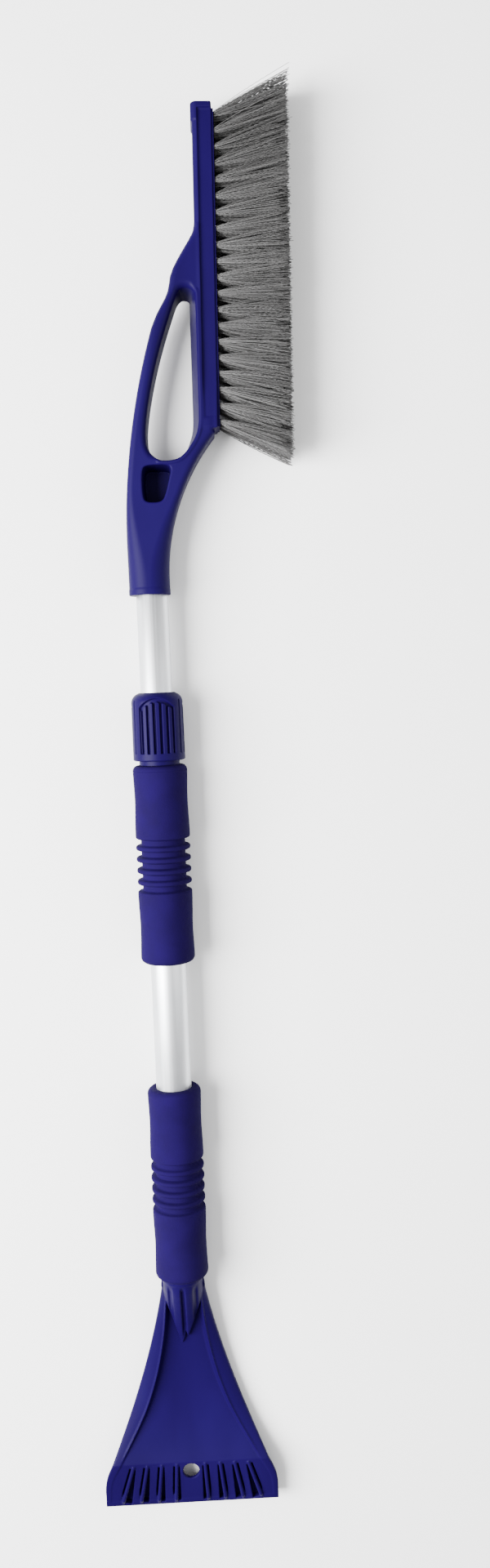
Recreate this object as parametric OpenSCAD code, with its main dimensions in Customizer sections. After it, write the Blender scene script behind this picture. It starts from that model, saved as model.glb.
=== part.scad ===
// Telescopic snow brush with an ice scraper on the other end.
// The handle's axis runs along Y: the brush is at +Y, the scraper at -Y,
// and the bristles point to +X. The tool lies flat on the floor at z = 0.

/* [Tubes] */
// Outside diameter of the lower, outer tube
outer_tube_d = 25; // [24.6:0.1:25.2]
// Outside diameter of the upper, inner tube
inner_tube_d = 22; // [21.8:0.1:22]
// Wall thickness of both tubes
tube_wall = 1; // [0.9:0.05:1]
// Length of the outer tube
outer_tube_len = 391; // [388:1:392]
// Length of the inner tube
inner_tube_len = 407; // [400:1:410]

/* [Grips] */
// Diameter of a foam grip at its ends and at its rings
grip_d = 38; // [36:0.5:38]
// Diameter of a foam grip at the waist of each pad
waist_d = 36.8; // [35:0.2:36.8]
// Diameter at the bottom of the finger grooves
groove_d = 31.4; // [30:0.1:34]
// Length of one foam grip
grip_len = 139; // [130:1:140]
// Number of finger grooves in one grip
groove_count = 5; // [3:1:7]
// Distance from one finger groove to the next
groove_pitch = 8; // [6:0.1:8.4]

/* [Scraper] */
// Width of the blade at its edge
blade_w = 127.4; // [116:1:128]
// Length of the scraper from its edge to its shoulder
scraper_len = 179.6; // [178:0.2:181]
// Width of the neck at the shoulder
neck_w = 29; // [28:0.5:30]
// Thickness of the scraper's plate
plate_t = 3; // [2.6:0.1:3.4]
// Height of the side flanges above the plate
flange_h = 7; // [5:0.5:8]
// Width of the side flanges, seen from above
flange_w = 8; // [5:0.5:9]
// Number of ice ribs on each half of the blade
ribs_per_side = 4; // [2:1:4]
// Diameter of the hanging hole
hang_hole_d = 12; // [8:0.5:12]

/* [Twist lock] */
// Largest diameter of the twist collar
collar_d = 36; // [35:0.5:37]
// Length of the twist collar
collar_len = 46.7; // [46:0.1:48]
// Number of grooved panels round the collar
collar_panels = 3; // [2:1:3]
// Diameter of the lock body where it shows below the collar
neck_ring_d = 28; // [27.4:0.1:28.4]

/* [Brush head] */
// Thickness of the moulded head
head_t = 25; // [24.5:0.1:26]
// Height of the brush bar, measured along the bristles
bar_w = 13; // [11:0.5:14]
// Length of the brush bar
bar_len = 210; // [200:1:212]
// Lean of the brush bar towards the bristles, in degrees
bar_lean = 1; // [0:0.1:1.5]
// Outside diameter of the tube socket
socket_d = 28.6; // [27:0.2:29]

/* [Bristles] */
// Number of rows of tufts
row_count = 4; // [2:1:4]
// Number of tufts in one row
tufts_per_row = 20; // [10:1:22]
// Free length of the bristles
bristle_len = 49; // [40:1:52]
// Angle of the outermost tufts, in degrees
fan_angle = 20; // [10:1:24]

/* [Hidden] */
$fn = 64;

moulding_blue = [0.17, 0.17, 0.47];
foam_blue = [0.15, 0.15, 0.42];
tube_silver = [0.80, 0.81, 0.83];
bristle_grey = [0.42, 0.42, 0.42];
steel = [0.62, 0.63, 0.65];
white_acetal = [0.90, 0.90, 0.88];

running = 0.05;        // radial play where parts turn or slide
clearance = 0.3;       // radial play where parts only pass

// Stations along the handle, measured from the blade's edge
shoulder_y = scraper_len;
lower_grip_y = shoulder_y + 0.2;
upper_grip_y = lower_grip_y + grip_len + 90.8;
lock_y = upper_grip_y + grip_len;
collar_y = lock_y + 3.3;
outer_top_y = shoulder_y + outer_tube_len;
mouth_y = 665.1;
inner_top_y = mouth_y + 57.5;
inner_low_y = inner_top_y - inner_tube_len;
spigot_len = 45;
bush_len = 12;

// The brush bar, in the head's own frame
bar_x = 36.6;
bar_y = mouth_y + 109.5;
bar_face_x = bar_x + bar_w;
panel_depth = 1.2;
strip_lip = 1.3;
strip_w = 20;
strip_depth = 7;
strip_len = bar_len - 5;
row_pitch = 5;
tuft_hole_r = 1.3;
tuft_root_r = 1.25;
tuft_base_r = 1.8;
tuft_tip_r = 3.1;
anchor_h = 1.8;
tuft_sink = 5.5;
tuft_pitch = (strip_len - 7) / (tufts_per_row - 1);
row_fan = 6.3;         // outward lean of a row, in degrees for each row pitch
tuft_grow = 1.15;      // a tuft's cone is this much longer before its tip is trimmed
trimmed_r = tuft_base_r + (tuft_tip_r - tuft_base_r) / tuft_grow;

// Place of the handle's axis in the part's frame
axis_z = grip_d / 2;
tip_x = bar_face_x + strip_lip + bristle_len;
fan_reach = strip_len - 2 + bristle_len * tan(fan_angle) + trimmed_r / cos(fan_angle);
x_max = bar_x + (tip_x - bar_x) * cos(bar_lean) + fan_reach * sin(bar_lean);
y_max = bar_y + fan_reach * cos(bar_lean) - (tip_x - bar_x) * sin(bar_lean);
mid_x = (x_max - blade_w / 2) / 2;
mid_y = y_max / 2;

module placed() translate([-mid_x, -mid_y, axis_z]) children();

// A solid round bar along +Y from y, with its bottom diameter d and top diameter d2
module along(y, len, d, d2 = -1)
    translate([0, y, 0]) rotate([-90, 0, 0])
        cylinder(h = len, d1 = d, d2 = d2 < 0 ? d : d2);

// A tube along +Y
module sleeve(y, len, od, id)
    difference() {
        along(y, len, od);
        along(y - 1, len + 2, id);
    }

// Points on an arc round a centre, from angle a0 to angle a1
function arc(cx, cy, r, a0, a1, n = 12) =
    [for (i = [0:n]) let (a = a0 + (a1 - a0) * i / n) [cx + r * cos(a), cy + r * sin(a)]];

// ---------------------------------------------------------------- handle

module outer_tube()
    color(tube_silver) placed()
        difference() {
            along(shoulder_y, outer_tube_len, outer_tube_d);
            along(shoulder_y - 1, outer_tube_len + 2, outer_tube_d - 2 * tube_wall);
            pin_bore(pin_d);
            for (side = [-1, 1]) lock_pin(side, outer_tube_d / 2 - 1.5);
        }

// Profile of a foam grip: two waisted pads round a ribbed middle
module grip_profile() {
    pad = (grip_len - groove_count * groove_pitch) / 2;
    sag = (grip_d - waist_d) / 2;
    sag_r = (pad * pad / 4 + sag * sag) / (2 * sag);
    end_r = 4;
    difference() {
        union() {
            translate([0, end_r]) square([grip_d / 2, grip_len - 2 * end_r]);
            square([grip_d / 2 - end_r, grip_len]);
            for (y = [end_r, grip_len - end_r])
                translate([grip_d / 2 - end_r, y]) circle(r = end_r);
        }
        translate([-1, -1]) square([outer_tube_d / 2 + 1, grip_len + 2]);
        for (y = [pad / 2, grip_len - pad / 2])
            translate([grip_d / 2 - sag + sag_r, y]) circle(r = sag_r, $fn = 360);
        for (i = [0:groove_count - 1])
            translate([groove_d / 2, grip_len / 2 + (i - (groove_count - 1) / 2) * groove_pitch])
                groove_cut();
    }
}

module groove_cut() {
    w = groove_pitch * 0.46;
    translate([0, -w / 2]) square([grip_d, w]);
}

module grip(y)
    color(foam_blue) placed()
        translate([0, y, 0]) rotate([-90, 0, 0]) rotate_extrude($fn = 96) grip_profile();

module upper_grip() grip(upper_grip_y);

module lower_grip() grip(lower_grip_y);

// ---------------------------------------------------------------- scraper

corner_r = 39;
corner_turn = 25;
straight = 11.6;       // square part of the blade next to the edge
corner_in = corner_r * (1 - cos(corner_turn));
corner_top = straight + corner_r * sin(corner_turn);
flare_x = blade_w / 2 - corner_in;
neck_turn = 9;
flare_r = (scraper_len - corner_top) / (sin(corner_turn) - sin(neck_turn));

// Half outline of the scraper, drawn in by a margin
function half_outline(m) = concat(
    [[0, 0], [blade_w / 2 - m, 0]],
    arc(blade_w / 2 - corner_r, straight, corner_r - m, 0, corner_turn, 5),
    arc(flare_x + flare_r * cos(corner_turn), corner_top + flare_r * sin(corner_turn),
        flare_r + m, 180 + corner_turn, 180 + neck_turn, 10),
    [[0, scraper_len + m]]);

module outline(m = 0)
    for (side = [0, 1]) mirror([side, 0]) polygon(half_outline(m));

// Height of the plate's top over the floor, along y
edge_z = 11.6;
edge_t = 1.1;
kink_y = 33.6;
kink_z = 15;
dip_y = 85.6;
dip_z = 7;
neck_rise = 9.5;
function floor_z(y) =
    y < kink_y ? edge_z + (kink_z - edge_z) * y / kink_y :
    y < dip_y ? kink_z - (kink_z - dip_z) * sin(90 * (y - kink_y) / (dip_y - kink_y)) :
    dip_z + neck_rise * (1 - cos(90 * (y - dip_y) / (scraper_len - dip_y)));

// The plate thins towards the blade's edge
function plate_at(y) = y < 18 ? edge_t + (plate_t - edge_t) * y / 18 : plate_t;

floor_steps = [0, 9, 18, 26, kink_y, 41, 49, 60, 72, dip_y, 100, 115, 130, 145, 158, 169, scraper_len];

// Side profile of the plate, with its top raised by a height
module side_band(high)
    rotate([90, 0, 90]) translate([0, -axis_z, -blade_w])
        linear_extrude(2 * blade_w)
            polygon(concat(
                [for (y = floor_steps) [y, floor_z(y) - plate_at(y)]],
                [for (i = [len(floor_steps) - 1:-1:0]) let (y = floor_steps[i])
                    [y, floor_z(y) + high * flange_rise(y)]]));

// The flanges fade out towards the blade's edge
function flange_rise(y) = y < 12 ? 0 : y > kink_y + 12 ? 1 : (y - 12) / kink_y;

module scraper_plate()
    intersection() {
        translate([0, 0, -axis_z]) linear_extrude(2 * axis_z) outline();
        side_band(0);
    }

module scraper_flanges()
    difference() {
        intersection() {
            translate([0, 0, -axis_z]) linear_extrude(2 * axis_z) outline();
            side_band(flange_h);
        }
        translate([0, 0, -axis_z - 1]) linear_extrude(2 * axis_z + 2) outline(flange_w);
    }

// Place and lean of ice rib number i on the +X half
function rib_x(i) = 11.2 + 12 * i;
function rib_angle(i) = 3 + 2.4 * i + 0.8 * i * i;
hang_hole_y = 26.4;
rib_y = 15.6;
rib_w = 2.6;
gutter_z = 5;
gutter_wall = 1.2;
slot_w = 1.1;          // narrow slot on the outer side of a rib
function wedge_w(i) = 2 + i;

module at_rib(i, z)
    translate([rib_x(i), rib_y, z - axis_z]) rotate([0, 0, -rib_angle(i)]) children();

module ice_rib(i) {
    at_rib(i, floor_z(rib_y)) rotate([atan((kink_z - edge_z) / kink_y), 0, 0])
        translate([-rib_w / 2, -14, -1]) cube([rib_w, 31, 2.4]);
    at_rib(i, gutter_z) linear_extrude(edge_z - gutter_z - 0.2)
        polygon([[-rib_w / 2 - wedge_w(i) - gutter_wall, -13 - gutter_wall],
            [rib_w / 2 + slot_w + gutter_wall, -13 - gutter_wall],
            [rib_w / 2 + slot_w + gutter_wall, 15 + gutter_wall],
            [-rib_w / 2 - 0.5 - gutter_wall, 15 + gutter_wall]]);
}

// Deep blind slots on both sides of a rib, the inner one wedge shaped
module ice_slot(i)
    at_rib(i, gutter_z + gutter_wall) linear_extrude(axis_z) {
        polygon([[-rib_w / 2 - 0.5, 15], [-rib_w / 2, 15],
            [-rib_w / 2, -13], [-rib_w / 2 - wedge_w(i), -13]]);
        translate([rib_w / 2, -9]) square([slot_w, 24]);
    }

module ice_blade(cut)
    for (side = [0, 1]) mirror([side, 0, 0])
        for (i = [0:ribs_per_side - 1])
            if (cut)
                ice_slot(i);
            else
                ice_rib(i);

pin_y = shoulder_y + 22;
pin_d = 4;

module pin_bore(d)
    translate([0, pin_y, -outer_tube_d]) cylinder(h = 2 * outer_tube_d, d = d);

module scraper()
    color(moulding_blue) placed()
        difference() {
            union() {
                difference() {
                    union() {
                        scraper_plate();
                        scraper_flanges();
                        ice_blade(false);
                    }
                    ice_blade(true);
                }
                scraper_neck();
                along(shoulder_y - 1, spigot_len + 1, outer_tube_d - 2 * tube_wall);
            }
            translate([0, hang_hole_y, -axis_z - 1]) cylinder(h = 3 * axis_z, d = hang_hole_d);
            pin_bore(pin_d);
        }

// Round neck that runs out onto the plate as a grooved tongue
tongue_len = 54;
tongue_slope = 27;

module scraper_neck() {
    along(shoulder_y - 12, 12, neck_w);
    difference() {
        intersection() {
            along(shoulder_y - tongue_len, tongue_len - 1, neck_w);
            translate([0, 0, -11]) linear_extrude(2 * axis_z)
                polygon([[-13, shoulder_y], [-13, shoulder_y - 15], [-2.7, shoulder_y - tongue_len],
                    [2.7, shoulder_y - tongue_len], [13, shoulder_y - 15], [13, shoulder_y]]);
            on_tongue() translate([-neck_w, -20, -3 * axis_z]) cube([2 * neck_w, 120, 3 * axis_z]);
        }
        on_tongue() translate([-2, -1, -1.8]) cube([4, 40, 10]);
    }
}

// Frame of the tongue's sloping top
module on_tongue()
    translate([0, shoulder_y - tongue_len, -10]) rotate([tongue_slope, 0, 0]) children();

module scraper_pin()
    color(steel) placed()
        translate([0, pin_y, -outer_tube_d / 2 + 0.3]) cylinder(h = outer_tube_d - 0.6, d = pin_d);

// ---------------------------------------------------------------- twist lock

thread_d = 31;
lock_body_top = collar_y + 30;
ring_y = lock_body_top + 0.5;
ring_len = 9.5;
ring_low_d = 31;
ring_top_d = 26;

lock_pin_d = 3;

// A pin across the lock body and the outer tube's wall, from a radius outwards
module lock_pin(side, from)
    translate([side * from, lock_y + 12, 0])
        rotate([0, side * 90, 0]) cylinder(h = neck_ring_d / 2 - 0.3 - from, d = lock_pin_d);

// Sleeve on the outer tube with the thread that the collar turns on
module lock_body()
    color(moulding_blue) placed()
        difference() {
            union() {
                along(lock_y + 0.1, lock_body_top - lock_y - 0.1, neck_ring_d);
                along(collar_y + 14, lock_body_top - collar_y - 14, thread_d - 1.6);
                for (i = [0:3]) along(collar_y + 15 + 3.6 * i, 1.8, thread_d);
            }
            along(lock_y - 1, outer_top_y - lock_y + 1.1, outer_tube_d);
            along(lock_y, lock_body_top, inner_tube_d + 2 * clearance);
            for (side = [-1, 1]) lock_pin(side, outer_tube_d / 2 - 1.5);
        }

module lock_pins()
    color(steel) placed()
        for (side = [-1, 1]) lock_pin(side, outer_tube_d / 2 - 0.9);

// Split cone that the collar squeezes onto the inner tube
module clamp_ring()
    color(white_acetal) placed()
        difference() {
            along(ring_y, ring_len, ring_low_d, ring_top_d);
            along(ring_y - 1, ring_len + 2, inner_tube_d + 2 * running);
            translate([-1, ring_y - 1, 0]) cube([2, ring_len + 2, 20]);
        }

module lock_collar()
    color(moulding_blue) placed()
        difference() {
            union() {
                along(collar_y, collar_len - 5, collar_d);
                along(collar_y + collar_len - 5, 5, collar_d, collar_d - 9);
            }
            along(collar_y - 1, lock_body_top - collar_y + 2, thread_d + 2 * clearance);
            along(lock_body_top + 0.9, ring_len + 0.4, thread_d + 2 * clearance, ring_top_d + 2 * clearance);
            along(collar_y, collar_len + 1, inner_tube_d + 2 * clearance + 0.2);
            for (p = [0:collar_panels - 1], g = [-2:2])
                translate([0, collar_y + 6, 0]) rotate([0, 360 / collar_panels * p + 15 * g, 0])
                    translate([-0.7, 0, collar_d / 2 - 1.4]) cube([1.4, collar_len - 11 - abs(g), 4]);
        }

// ---------------------------------------------------------------- sliding tube

stem_d = 12;

module guide_bush()
    color(white_acetal) placed()
        sleeve(inner_low_y - bush_len - 0.3, bush_len,
            outer_tube_d - 2 * tube_wall - 2 * running, stem_d + 2 * running);

module tube_plug()
    color(moulding_blue) placed() {
        along(inner_low_y, 18, inner_tube_d - 2 * tube_wall);
        along(inner_low_y - bush_len - 1, bush_len + 2, stem_d);
        along(inner_low_y - bush_len - 4.6, 4, 17);
    }

module inner_tube()
    color(tube_silver) placed()
        difference() {
            along(inner_low_y, inner_tube_len, inner_tube_d);
            along(inner_low_y - 1, inner_tube_len + 2, inner_tube_d - 2 * tube_wall);
            screw_shank(3.5);
        }

// ---------------------------------------------------------------- brush head

loop_r = 490;
loop_turn = 17.6;
loop_x0 = -15.5;
loop_y0 = mouth_y + 28;
throat_r = 148;
throat_turn = 40;
throat_x0 = 12.6;
throat_y0 = mouth_y + 11;

// Outline of the loop handle, from the socket up to the bar
module head_outline()
    polygon(concat(
        [[throat_x0, mouth_y], [loop_x0, mouth_y]],
        arc(loop_x0 + loop_r, loop_y0, loop_r, 180, 180 - loop_turn, 12),
        [[10.3, bar_y + 74], [17.9, bar_y + 87], [20.2, bar_y + 93], [21.2, bar_y + 100],
            [24, bar_y + 106], [34.6, bar_y + 124], [bar_x + 2, bar_y + 130],
            [bar_x + 8, bar_y + 130], [bar_x + 8, bar_y + 1]],
        arc(throat_x0 + throat_r, throat_y0, throat_r, 180 - throat_turn, 180, 10)));

// Finger opening of the loop
module window_outline()
    polygon(concat(
        arc(31.5, bar_y + 86, 6.6, 0, 150, 8),
        [[17.7, bar_y + 68.5], [11.5, bar_y + 50], [6.3, bar_y + 31], [2.2, bar_y + 11.5],
            [0.6, bar_y - 2], [2.2, bar_y - 12], [8, bar_y - 18.5], [15.5, bar_y - 20.5],
            [22, bar_y - 18.5], [31, bar_y - 11], [36.8, bar_y + 2], [37.6, bar_y + 20]]));

module pocket_outline()
    polygon([[-2.6, bar_y - 26], [0, bar_y - 23], [13, bar_y - 23.4], [16.8, bar_y - 27],
        [12, bar_y - 44], [8.6, bar_y - 48], [0.5, bar_y - 48], [-2.6, bar_y - 44.5]]);

// Turns its children with the leaning brush bar
module leaning()
    translate([bar_x, bar_y, 0]) rotate([0, 0, -bar_lean]) translate([-bar_x, -bar_y, 0])
        children();

module brush_bar()
    leaning()
        translate([bar_x, bar_y, -head_t / 2]) cube([bar_w, bar_len, head_t]);

// Shallow panel in both faces of the bar, beside the strip
module bar_panels()
    leaning()
        for (side = [0, 1]) mirror([0, 0, side])
            translate([bar_x + 3.6, bar_y + 36, head_t / 2 - panel_depth])
                cube([bar_w - 4.8, bar_len - 40, panel_depth + 1]);

module strip_body(play)
    leaning()
        translate([bar_face_x - strip_depth, bar_y + 1, -strip_w / 2])
            cube([strip_depth + strip_lip + play, strip_len, strip_w]);

module screw_shank(d)
    translate([0, mouth_y + 25, -socket_d / 2 - 1]) cylinder(h = 6, d = d);

module brush_head()
    color(moulding_blue) placed()
        difference() {
            union() {
                difference() {
                    translate([0, 0, -head_t / 2]) linear_extrude(head_t) head_outline();
                    translate([-loop_r, mouth_y - 1, -head_t]) cube([2 * loop_r, 31, 2 * head_t]);
                }
                translate([-1, 0, 0]) along(mouth_y, 62, socket_d);
                brush_bar();
            }
            translate([0, 0, -head_t]) linear_extrude(2 * head_t) window_outline();
            translate([0, 0, -head_t / 2 + 4]) linear_extrude(head_t) pocket_outline();
            along(mouth_y - 1, inner_top_y - mouth_y + 1, inner_tube_d);
            strip_body(1);
            bar_panels();
            screw_shank(3.5);
            translate([0, mouth_y + 25, -socket_d / 2 - 1]) cylinder(h = 3, d = 7.2);
        }

module head_screw()
    color(steel) placed()
        difference() {
            union() {
                translate([0, mouth_y + 25, -socket_d / 2 + 0.1]) cylinder(h = 1.9, d = 7);
                translate([0, mouth_y + 25, -socket_d / 2 + 1]) cylinder(h = 4, d = 3.5);
            }
            for (a = [0, 90])
                translate([0, mouth_y + 25, -socket_d / 2]) rotate([0, 0, a])
                    translate([-2, -0.4, 0]) cube([4, 0.8, 1]);
        }

// ---------------------------------------------------------------- bristles

function row_z(r) = (r - (row_count - 1) / 2) * row_pitch;
function tuft_y(r, i) = bar_y + 1 + 3 + (r % 2) * 1 + i * tuft_pitch;
function tuft_t(i) = 2 * i / (tufts_per_row - 1) - 1;
function tuft_turn(i) = fan_angle * tuft_t(i) * pow(abs(tuft_t(i)), 0.4);

module tuft_strip()
    color(moulding_blue) placed()
        difference() {
            strip_body(0);
            for (r = [0:row_count - 1], i = [0:tufts_per_row - 1])
                leaning() translate([bar_face_x + strip_lip - tuft_sink, tuft_y(r, i), row_z(r)])
                    rotate([0, 90, 0]) cylinder(h = tuft_sink + 1, r = tuft_hole_r);
        }

// Flat wire anchors at the bottom of the tuft holes
module tuft_anchors()
    color(steel) placed() leaning()
        for (r = [0:row_count - 1], i = [0:tufts_per_row - 1])
            translate([bar_face_x + strip_lip - tuft_sink, tuft_y(r, i) - 1.2, row_z(r) - 0.25])
                cube([anchor_h, 2.4, 0.5]);

// One tuft: a straight root in its hole and a fanned cone of filaments
module tuft(r, i) {
    x0 = bar_face_x + strip_lip;
    translate([x0 - tuft_sink + anchor_h, tuft_y(r, i), row_z(r)])
        rotate([0, 90, 0]) cylinder(h = tuft_sink - anchor_h + 1.2, r = tuft_root_r);
    translate([x0, tuft_y(r, i), row_z(r)])
        rotate([0, -row_fan * row_z(r) / row_pitch, tuft_turn(i)])
            translate([0.7, 0, 0]) rotate([0, 90, 0])
                cylinder(h = bristle_len * tuft_grow, r1 = tuft_base_r, r2 = tuft_tip_r);
}

module bristle_row(r)
    color(bristle_grey) placed() leaning()
        intersection() {
            union() for (i = [0:tufts_per_row - 1]) tuft(r, i);
            translate([0, bar_y - 200, -axis_z]) cube([tip_x, 2 * bar_y, 2 * axis_z]);
        }

module bristle_row_1() bristle_row(0);

module bristle_row_2() bristle_row(1);

module bristle_row_3() bristle_row(2);

module bristle_row_4() bristle_row(3);

outer_tube();
upper_grip();
lower_grip();
scraper();
scraper_pin();
lock_body();
lock_pins();
clamp_ring();
lock_collar();
guide_bush();
tube_plug();
inner_tube();
brush_head();
head_screw();
tuft_strip();
tuft_anchors();
bristle_row_1();
bristle_row_2();
bristle_row_3();
bristle_row_4();
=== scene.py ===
"""Telescopic snow brush with an ice scraper, dressed around its CAD frame.

Lengths in this file are millimetres in the tool's own frame: x across, y along the handle from the
blade's edge, z up from the handle's axis. place() turns them into metres in the row frame.
"""
import math
import bpy
import numpy as np
from mathutils import Matrix, Vector


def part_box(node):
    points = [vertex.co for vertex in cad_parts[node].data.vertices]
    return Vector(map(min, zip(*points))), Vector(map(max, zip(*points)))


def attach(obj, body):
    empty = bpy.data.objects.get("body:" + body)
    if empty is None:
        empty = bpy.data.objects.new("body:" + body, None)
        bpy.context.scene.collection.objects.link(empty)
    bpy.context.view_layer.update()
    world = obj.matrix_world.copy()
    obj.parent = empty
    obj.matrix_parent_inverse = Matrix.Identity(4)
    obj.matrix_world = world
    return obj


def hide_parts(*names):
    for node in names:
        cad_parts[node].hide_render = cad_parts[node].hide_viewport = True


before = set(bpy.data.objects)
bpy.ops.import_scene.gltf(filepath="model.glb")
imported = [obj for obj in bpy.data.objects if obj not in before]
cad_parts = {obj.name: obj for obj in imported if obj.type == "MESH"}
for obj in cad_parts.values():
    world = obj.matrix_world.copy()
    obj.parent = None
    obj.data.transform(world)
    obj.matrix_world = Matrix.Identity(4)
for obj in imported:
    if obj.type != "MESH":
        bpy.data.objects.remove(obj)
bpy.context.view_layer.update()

# ---------------------------------------------------------------- places

tube_low, tube_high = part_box("outer_tube")
blade_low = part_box("scraper")[0]
DATUM = Vector(((tube_low.x + tube_high.x) / 2, blade_low.y, (tube_low.z + tube_high.z) / 2))
FLOOR = -DATUM.z * 1000
TUBE_R = (tube_high.x - tube_low.x) * 500  # outside radius of the outer tube


def place(points):
    """Millimetres in the tool's frame to metres in the row frame."""
    return np.asarray(points, float) / 1000 + np.array(DATUM)


def extent(node):
    """Lowest and highest corner of a CAD node, in the tool's frame."""
    low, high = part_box(node)
    return (low - DATUM) * 1000, (high - DATUM) * 1000


def span(node):
    """Lowest and highest y of a CAD node."""
    low, high = extent(node)
    return low.y, high.y


# ---------------------------------------------------------------- meshes

def finish_piece(name, mesh, node, body, material):
    """Makes a mesh into a smooth piece that rides a body and stands for a CAD node."""
    mesh.validate()
    mesh.shade_smooth()
    mesh.materials.append(material)
    piece = bpy.data.objects.new(name, mesh)
    bpy.context.collection.objects.link(piece)
    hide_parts(node)
    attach(piece, body)
    return piece


def quad_mesh(name, points, quads, triangles=None):
    """A mesh of quads from arrays, made fast, with triangles where ends are capped."""
    mesh = bpy.data.meshes.new(name)
    mesh.vertices.add(len(points))
    mesh.vertices.foreach_set("co", place(points).astype(np.float32).ravel())
    caps = np.zeros((0, 3), int) if triangles is None else triangles
    sizes = np.concatenate([np.full(len(quads), 4), np.full(len(caps), 3)]).astype(np.int32)
    corners = np.concatenate([quads.ravel(), caps.ravel()]).astype(np.int32)
    mesh.loops.add(len(corners))
    mesh.loops.foreach_set("vertex_index", corners)
    mesh.polygons.add(len(sizes))
    mesh.polygons.foreach_set("loop_start", np.cumsum(sizes, dtype=np.int32) - sizes)
    mesh.polygons.foreach_set("loop_total", sizes)
    mesh.update()
    return mesh


# Grid steps of the moulded pieces
FINE_STEP, QUICK_STEP = 0.6, 1.1


def surface(field, low, high, step):
    """Points and quads of the surface where a distance field is zero."""
    axes = [np.arange(a - 2 * step, b + 3 * step, step) for a, b in zip(low, high)]
    x, y, z = axes[0][:, None, None], axes[1][None, :, None], axes[2][None, None, :]
    value = field(x, y, z).astype(np.float32)
    inside = value < 0
    corners = [inside[i:i - 1 or None, j:j - 1 or None, k:k - 1 or None]
               for i in (0, 1) for j in (0, 1) for k in (0, 1)]
    count = sum(c.astype(np.int8) for c in corners)
    mixed = (count > 0) & (count < 8)
    number = np.full(mixed.shape, -1, np.int64)
    number[mixed] = np.arange(mixed.sum())
    cell = np.argwhere(mixed)
    points = cell_points(value, cell, axes, step)
    quads = []
    for axis in range(3):
        a = inside[tuple(slice(None, -1) if k == axis else slice(1, -1) for k in range(3))]
        b = inside[tuple(slice(1, None) if k == axis else slice(1, -1) for k in range(3))]
        u, v = [k for k in range(3) if k != axis]
        for flip, crossing in ((False, a & ~b), (True, ~a & b)):
            edge = np.argwhere(crossing)
            ring = []
            for du, dv in ((0, 0), (1, 0), (1, 1), (0, 1)):
                index = edge.copy()
                index[:, u] += du
                index[:, v] += dv
                ring.append(number[tuple(index.T)])
            turn = flip != (axis == 1)
            quads.append(np.stack(ring[::-1] if turn else ring, 1))
    points = settle(field, points, step)
    return points, np.concatenate(quads)


def cell_points(value, cell, axes, step):
    """Mean of the zero crossings on each mixed cell's edges."""
    total = np.zeros((len(cell), 3))
    hits = np.zeros(len(cell))
    for axis in range(3):
        u, v = [k for k in range(3) if k != axis]
        for du in (0, 1):
            for dv in (0, 1):
                start = cell.copy()
                start[:, u] += du
                start[:, v] += dv
                end = start.copy()
                end[:, axis] += 1
                f0 = value[tuple(start.T)]
                f1 = value[tuple(end.T)]
                crossed = (f0 < 0) != (f1 < 0)
                t = np.where(crossed, f0 / np.where(crossed, f0 - f1, 1), 0)
                where = (start - cell).astype(float)
                where[:, axis] += t
                total += where * crossed[:, None]
                hits += crossed
    origin = np.array([a[0] for a in axes])
    return origin + (cell + total / hits[:, None]) * step


def settle(field, points, step):
    """Moves points onto the zero surface along the field's gradient."""
    reach = 0.05
    value = field(*points.T)
    slope = np.stack([(field(*(points + d).T) - value) / reach for d in reach * np.eye(3)], 1)
    slope /= np.maximum((slope ** 2).sum(1), 0.2)[:, None]
    moved = points - slope * value[:, None]
    shift = moved - slope * field(*moved.T)[:, None] - points
    far = np.linalg.norm(shift, axis=1, keepdims=True)
    return points + shift * np.minimum(1, 0.9 * step / np.maximum(far, 1e-9))


def lathe(profile, segments):
    """Points and quads of a closed profile of (radius, y) turned round the handle's axis."""
    profile = np.asarray(profile, float)
    turn = np.linspace(0, 2 * math.pi, segments, endpoint=False)
    ring = np.stack([np.outer(profile[:, 0], np.sin(turn)),
                     np.repeat(profile[:, 1:], segments, 1),
                     np.outer(profile[:, 0], np.cos(turn))], 2)
    rows = len(profile)
    i = np.arange(rows)[:, None] * segments
    k = np.arange(rows)[:, None]
    j = np.arange(segments)[None, :]
    next_i = ((k + 1) % rows) * segments
    next_j = (j + 1) % segments
    quads = np.stack([i + j, i + next_j, next_i + next_j, next_i + j], 2).reshape(-1, 4)
    return ring.reshape(-1, 3), quads


# ---------------------------------------------------------------- distance fields

def soft_min(a, b, k):
    """Union of two fields, blended where they are within k of each other."""
    h = np.maximum(k - np.abs(a - b), 0) / k
    return np.minimum(a, b) - h * h * k / 4


def soft_max(a, b, k):
    """Intersection of two fields, blended where they are within k of each other."""
    return -soft_min(-a, -b, k)


def round_both(a, b, r):
    """Intersection of two fields with an edge radius r."""
    u = np.maximum(a + r, 0)
    v = np.maximum(b + r, 0)
    return np.sqrt(u * u + v * v) + np.minimum(np.maximum(a + r, b + r), 0) - r


def round_either(a, b, r):
    """Union of two fields whose inner corner has a radius r."""
    u = np.maximum(r - a, 0)
    v = np.maximum(r - b, 0)
    return np.maximum(r, np.minimum(a, b)) - np.sqrt(u * u + v * v)


def smooth_step(a, b, x):
    """Goes smoothly from 0 at a to 1 at b."""
    t = np.clip((x - a) / (b - a), 0, 1)
    return t * t * (3 - 2 * t)


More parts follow.
